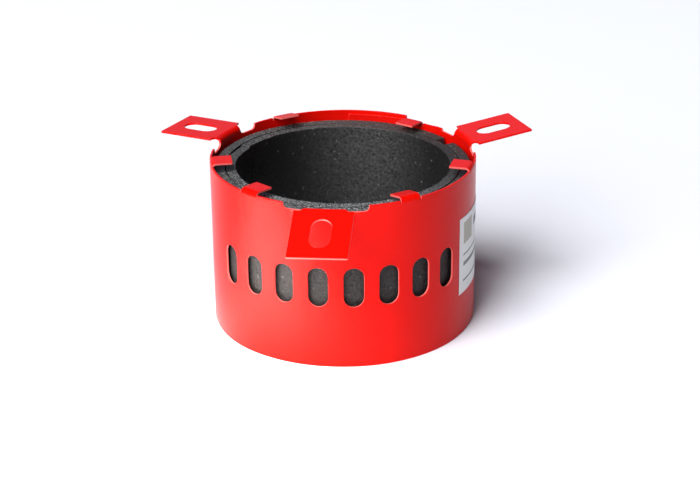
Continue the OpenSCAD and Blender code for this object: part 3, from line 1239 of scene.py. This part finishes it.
@dataclass
class LinerStrip:
    """One turn of intumescent strip, bent into a ring with a joint; angles in degrees.

    Its top runs aslant, highest at slant_angle. Its first end stands off by lift and eases back over
    lift_run. Its surface is pressed in by a fine grain and a slow swell. Its rolled faces are painted
    paler round one angle, a painted light. Its cut faces are torn most, and painted palest, at the front,
    and least round a second angle, where they are painted darkest: painted light and shade.
    """

    node: str
    inner_r: float
    thickness: float
    height: float
    joint_w: float
    joint_angle: float
    slant: float
    slant_angle: float
    seed: int
    lift: float = 0.0
    lift_run: float = 14.0
    corner_r: float = 0.25
    pitch: float = 0.8
    end_rings: tuple[float, ...] = (0.0, 0.25, 0.5, 0.75, 0.92)
    grain: float = 0.09
    grain_cell: float = 0.95
    swell: float = 0.12
    swell_cell: float = 7.0
    # Angle, spread and least share of the painted light on the rolled faces
    painted_light_angle: float = 86.0
    painted_light_spread: float = 52.0
    painted_light_least: float = 0.1
    # Shares of tearing and painted light on the cut faces at the sides, back and front, and the painted shade
    # round one angle
    torn_and_lit_side: float = 0.5
    torn_and_lit_back: float = 0.65
    torn_and_lit_front: float = 1.0
    painted_shade_share: float = 0.65
    painted_shade_angle: float = 35.0
    end_share: float = 0.3

    @property
    def outer_r(self) -> float:
        """Outer radius of the strip."""
        return self.inner_r + self.thickness

    @property
    def middle(self) -> np.ndarray:
        """Radius and height of the section's middle."""
        return np.array([(self.inner_r + self.outer_r) / 2, self.height / 2])

    def _section(self) -> np.ndarray:
        """Radius and height of each point of the strip's section, with its rounded corners."""
        spots = [(self.inner_r, 0.0), (self.outer_r, 0.0), (self.outer_r, self.height),
                 (self.inner_r, self.height)]
        return rounded_loop([(r, z, self.corner_r) for r, z in spots], self.pitch / 2, self.pitch)

    def _rings(self) -> tuple[np.ndarray, np.ndarray]:
        """Spaces the sections round the ring; at each end the section shrinks, which makes the cut face.

        Returns:
            The angle of each section in radians, and its scale: 1 on the strip and less on the cut faces.
        """
        radius = self.middle[0]
        gap = self.joint_w / radius
        count = round(2 * math.pi * radius / self.pitch)
        along = math.radians(self.joint_angle) + gap / 2 + (2 * math.pi - gap) * np.linspace(0, 1, count)
        ends = np.array(self.end_rings)
        angle = np.concatenate([np.full(len(ends), along[0]), along, np.full(len(ends), along[-1])])
        return angle, np.concatenate([ends, np.ones(count), ends[::-1]])

    def _surface(self, section: np.ndarray, angle: np.ndarray, scale: np.ndarray) -> np.ndarray:
        """Carries the section round the ring, and makes it uneven.

        A section shrinks to its own middle line. Its points are pressed in along the section's normals by
        two sizes of noise, then moved inward by the lift, and up or down by the slant.

        Args:
            section: radius and height of each point of the section.
            angle: angle of each section in radians.
            scale: scale of each section.

        Returns:
            Places in the collar's frame, one row for each section.
        """
        middle = self.middle
        shrink = np.stack([scale, 1 - (1 - scale) * self.thickness / self.height], 1)
        rz = middle + (section - middle) * shrink[:, None]
        ray = rays(angle)[:, None]
        normal = loop_normals(section)[None] * np.ones((len(angle), 1, 1))
        points = np.concatenate([rz[..., :1] * ray, rz[..., 1:]], -1)
        out = np.concatenate([normal[..., :1] * ray, normal[..., 1:]], -1)
        press = self.grain * lattice_noise(points, self.grain_cell, self.seed)
        press += self.swell * lattice_noise(points, self.swell_cell, self.seed + 1)
        points = points - out * (press * (scale == 1)[:, None])[..., None]
        run = (angle - angle[0]) * middle[0]
        points[..., :2] -= (self.lift * smooth(1 - run / self.lift_run))[:, None, None] * ray
        tilt = self.slant * np.cos(angle - math.radians(self.slant_angle))[:, None]
        points[..., 2] += tilt * smooth(points[..., 2] / self.height)
        return points

    def _mark(self, piece: bpy.types.Object, section: np.ndarray, angle: np.ndarray,
              scale: np.ndarray) -> None:
        """Stores where the strip is cut and torn, with painted light and shade on its cut faces round the
        ring, and where its rolled faces are painted paler as painted light.

        Args:
            piece: the strip.
            section: radius and height of each point of the section.
            angle: angle of each section in radians.
            scale: scale of each section.
        """
        # Painted light and shade: the cut faces are torn and painted palest at the front, and painted darkest
        # round the shaded angle
        torn = self.torn_and_lit_side + (self.torn_and_lit_back - self.torn_and_lit_side) * smooth(np.sin(angle))
        torn += (self.torn_and_lit_front - self.torn_and_lit_side) * smooth(-np.sin(angle))
        torn *= 1 - self.painted_shade_share * smooth(np.cos(angle - math.radians(self.painted_shade_angle)))
        level = np.abs(loop_normals(section)[:, 1])
        cut = np.maximum(level * torn[:, None], self.end_share * (scale < 1)[:, None])
        set_attribute(piece, "cut", cut.ravel())
        # Painted light: the rolled faces are palest round one angle, at the back of the bore, and darker away
        # from it
        off = np.abs((np.degrees(angle) - self.painted_light_angle + 180) % 360 - 180)
        rubbed = self.painted_light_least + (1 - self.painted_light_least) * smooth(1 - off / self.painted_light_spread)
        set_attribute(piece, "rubbed", np.repeat(rubbed, len(section)))

    def _close(self, piece: bpy.types.Object) -> None:
        """Merges the two halves of each end ring, where the section has shrunk to a line.

        Args:
            piece: the strip.
        """
        work = bmesh.new()
        work.from_mesh(piece.data)
        bmesh.ops.remove_doubles(work, verts=work.verts, dist=SAME_POINT * MM)
        work.to_mesh(piece.data)
        work.free()

    def build(self, finish: bpy.types.Material) -> None:
        """Makes the strip: its section carried round the ring and closed at both ends.

        Args:
            finish: material of the strip.
        """
        section = self._section()
        angle, scale = self._rings()
        points = self._surface(section, angle, scale)
        faces = grid_faces(len(angle), len(section))
        piece = add_piece(self.node.replace("strip", "turn"), points.reshape(-1, 3), [faces], [finish])
        self._mark(piece, section, angle, scale)
        self._close(piece)
        stand_for(piece, self.node)


# The label


class Ink(Enum):
    """Inks of the label, numbered as its mesh's materials are."""

    GREY = 1
    SAND = 2


@dataclass(frozen=True)
class Bar:
    """Printed bar on the label: its left and lower edges, width and height in millimetres, and its ink."""

    x: float
    z: float
    width: float
    height: float
    ink: Ink = Ink.GREY


@dataclass
class PaperLabel:
    """Paper label stuck round the band, with a plain block and plain bars for print.

    Its grid has a number of columns and rows, besides the lines that follow the edges of the bars.
    """

    radius: float
    width: float = 45.0
    height: float = 28.9
    thickness: float = 0.12
    glue: float = 0.02
    angle: float = 336.0
    base: float = 16.1
    columns: int = 46
    rows: int = 15
    bars: tuple[Bar, ...] = (
        Bar(3.1, 18.6, 8.4, 8.2, Ink.SAND),
        Bar(14.0, 21.6, 22.0, 3.2),
        Bar(3.1, 14.2, 30.0, 0.6),
        Bar(3.1, 10.2, 36.0, 1.5),
        Bar(3.1, 4.2, 26.0, 0.8),
    )

    def _grid(self) -> tuple[np.ndarray, np.ndarray]:
        """Lays the lines of the label's flat grid.

        Returns:
            The distances from its left edge and from its lower one, an array of each.
        """
        sides = [edge for bar in self.bars for edge in (bar.x, bar.x + bar.width)]
        levels = [edge for bar in self.bars for edge in (bar.z, bar.z + bar.height)]
        xs = np.unique([*np.linspace(0, self.width, self.columns), *sides])
        zs = np.unique([*np.linspace(0, self.height, self.rows), *levels])
        return np.meshgrid(xs, zs, indexing="ij")

    def _inks(self, x: np.ndarray, z: np.ndarray) -> np.ndarray:
        """Finds which ink each face of the grid takes, from the face's middle.

        Args:
            x: distances from the left edge.
            z: distances from the lower edge.

        Returns:
            The number of a material for each face.
        """
        middle_x = (x[:-1, :-1] + x[1:, 1:]).ravel() / 2
        middle_z = (z[:-1, :-1] + z[1:, 1:]).ravel() / 2
        inked = np.zeros(len(middle_x), np.int32)
        for bar in self.bars:
            hit = np.abs(middle_x - bar.x - bar.width / 2) < bar.width / 2
            hit &= np.abs(middle_z - bar.z - bar.height / 2) < bar.height / 2
            inked[hit] = bar.ink.value
        return inked

    def build(self, finishes: list[bpy.types.Material]) -> None:
        """Makes the label: two layers of its grid bent round the band, joined along the border.

        The normals of both layers lie along the band's rays, so that the border isn't shaded as if it were
        round.

        Args:
            finishes: materials of the paper and of each ink, in the inks' order.
        """
        x, z = self._grid()
        turn = math.radians(self.angle) + x / self.radius
        layers = []
        for r in (self.radius + self.glue, self.radius + self.glue + self.thickness):
            layers.append(np.stack([r * np.cos(turn), r * np.sin(turn), z + self.base], -1).reshape(-1, 3))
        ray = np.stack([np.cos(turn), np.sin(turn), np.zeros_like(turn)], -1).reshape(-1, 3)
        ids = np.arange(x.size).reshape(x.shape)
        quads = np.stack([ids[:-1, :-1], ids[1:, :-1], ids[1:, 1:], ids[:-1, 1:]], -1).reshape(-1, 4)
        border = np.concatenate([ids[:-1, 0], ids[-1, :-1], ids[:0:-1, -1], ids[0, :0:-1]])
        beyond = np.roll(border, -1)
        sides = np.stack([border, beyond, beyond + x.size, border + x.size], 1)
        piece = add_piece("paper_label", np.concatenate(layers), [quads + x.size, quads[:, ::-1], sides],
                          finishes, np.concatenate([-ray, ray]))
        plain = np.zeros(len(quads) + len(sides), np.int32)
        piece.data.polygons.foreach_set("material_index", np.concatenate([self._inks(x, z), plain]))
        stand_for(piece, "label")


# The studio


# Warm white of the lights that hang over the floor
WASH_TINT = "#FFF2E0"


@dataclass(frozen=True)
class Softbox:
    """Rectangular soft light that faces a point; angles in degrees, lengths in metres."""

    name: str
    azimuth: float
    elevation: float
    distance: float
    width: float
    height: float
    watts: float
    aim: tuple[float, float, float] = (0.0, 0.0, 0.03)
    spread: float = 180.0
    tint: str = "#FFFFFF"

    def add(self) -> None:
        """Adds the light, which the camera doesn't see."""
        back = direction(self.azimuth, self.elevation)
        data = bpy.data.lights.new(self.name, "AREA")
        data.shape = "RECTANGLE"
        data.size, data.size_y = self.width, self.height
        data.energy = self.watts
        data.spread = math.radians(self.spread)
        data.color = linear(self.tint)[:3]
        light = bpy.data.objects.new(self.name, data)
        light.visible_camera = False
        light.location = Vector(self.aim) + back * self.distance
        light.rotation_mode = "QUATERNION"
        light.rotation_quaternion = (-back).to_track_quat("-Z", "Y")
        bpy.context.scene.collection.objects.link(light)


@dataclass
class Studio:
    """Pale floor, soft light and the camera; angles in degrees, lengths in metres.

    Two large softboxes at the front left light the collar. Two small ones hang just over the floor and face
    down: the bright floor is what the left of the band reflects. A weak panel lifts the back. Each light is
    given by its name, azimuth, elevation, distance, width, height and watts.
    """

    target: tuple[float, float, float] = (0.00221, 0.00028, 0.02309)
    azimuth: float = 7.3
    elevation: float = 24.13
    roll: float = -0.552
    distance: float = 0.69433
    lens_mm: float = 98.53
    sensor_mm: float = 36.0
    clip: tuple[float, float] = (0.01, 20.0)
    floor_r: float = 6.0
    floor_core: float = 0.001
    floor_rings: int = 16
    floor_step: float = 5.0
    surround: str = "#EAF2FF"
    ambient: float = 0.045
    lights: tuple[Softbox, ...] = (
        Softbox("high_softbox", -32.0, 58.0, 5.0, 3.0, 3.0, 362.0),
        Softbox("low_softbox", -30.0, 25.0, 5.0, 3.4, 2.6, 205.0),
        Softbox("floor_wash", 10.0, 89.0, 0.05, 0.14, 0.09, 0.74, aim=(-0.111, -0.098, 0.0), spread=120.0,
                tint=WASH_TINT),
        Softbox("base_wash", -20.0, 89.0, 0.05, 0.08, 0.05, 0.095, aim=(-0.032, -0.08, 0.0), spread=120.0,
                tint=WASH_TINT),
        Softbox("back_panel", 187.0, 22.0, 4.0, 5.0, 1.6, 14.0, tint="#D0E0FF"),
    )

    def build(self) -> None:
        """Adds the floor, the lights, the ambient light and the camera."""
        self._floor()
        for light in self.lights:
            light.add()
        world = bpy.data.worlds.new("soft_white_surround")
        world.use_nodes = True
        feed(world.node_tree, world.node_tree.nodes["Background"],
             {"Color": linear(self.surround), "Strength": self.ambient})
        bpy.context.scene.world = world
        bpy.context.scene.view_settings.view_transform = "Standard"
        self._camera()

    def _floor(self) -> None:
        """Makes the floor: rings of a flat disc, each wider than the last by the same factor."""
        turn = np.radians(np.arange(0, 360, self.floor_step))
        rings = self.floor_r / MM * np.geomspace(self.floor_core, 1, self.floor_rings)
        points = np.stack([rings[:, None] * np.cos(turn), rings[:, None] * np.sin(turn),
                           np.zeros((len(rings), len(turn)))], -1)
        floor = add_piece("background_paper", points.reshape(-1, 3),
                          [grid_faces(len(rings), len(turn)), np.arange(len(turn))[None]],
                          [StudioPaper().material()])

    def _camera(self) -> None:
        """Adds the camera: it looks at the target from the given angles, rolled about its own axis."""
        back = direction(self.azimuth, self.elevation)
        roll = math.radians(self.roll)
        level = Vector((0.0, 0.0, 1.0)).cross(back).normalized()
        upright = back.cross(level)
        right = math.cos(roll) * level + math.sin(roll) * upright
        up = math.cos(roll) * upright - math.sin(roll) * level
        data = bpy.data.cameras.new("camera")
        data.lens, data.sensor_width = self.lens_mm, self.sensor_mm
        data.clip_start, data.clip_end = self.clip
        camera = bpy.data.objects.new("camera", data)
        turned = Matrix((right, up, back)).transposed().to_4x4()
        turned.translation = Vector(self.target) + back * self.distance
        camera.matrix_world = turned
        bpy.context.scene.collection.objects.link(camera)
        bpy.context.scene.camera = camera


def main() -> None:
    """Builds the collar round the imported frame."""
    logging.basicConfig(level=logging.INFO, format="%(name)s: %(message)s")
    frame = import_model()
    bore = next(mount for mount in frame["record"]["mounts"] if mount["name"] == BORE)["dims"]
    stack = Stack(bore["r_mm"], bore["length_mm"])
    Studio().build()
    FoldedBand(stack).build(PowderCoat())
    graphite = Intumescent().material()
    LinerStrip("outer_liner_strip", stack.ply_r + stack.ply_gap, stack.strip_t, stack.liner_h, joint_w=6.0,
               joint_angle=38.0, slant=0.5, slant_angle=235.0, seed=11, painted_light_least=0.45).build(graphite)
    LinerStrip("inner_liner_strip", stack.bore_r, stack.strip_t, stack.liner_h, joint_w=0.5,
               joint_angle=161.0, slant=0.55, slant_angle=250.0, seed=23, lift=0.8).build(graphite)
    PaperLabel(stack.band_r).build([finish.material() for finish in (LabelPaper(), GREY_INK, SAND_INK)])


if __name__ == "__main__":
    main()
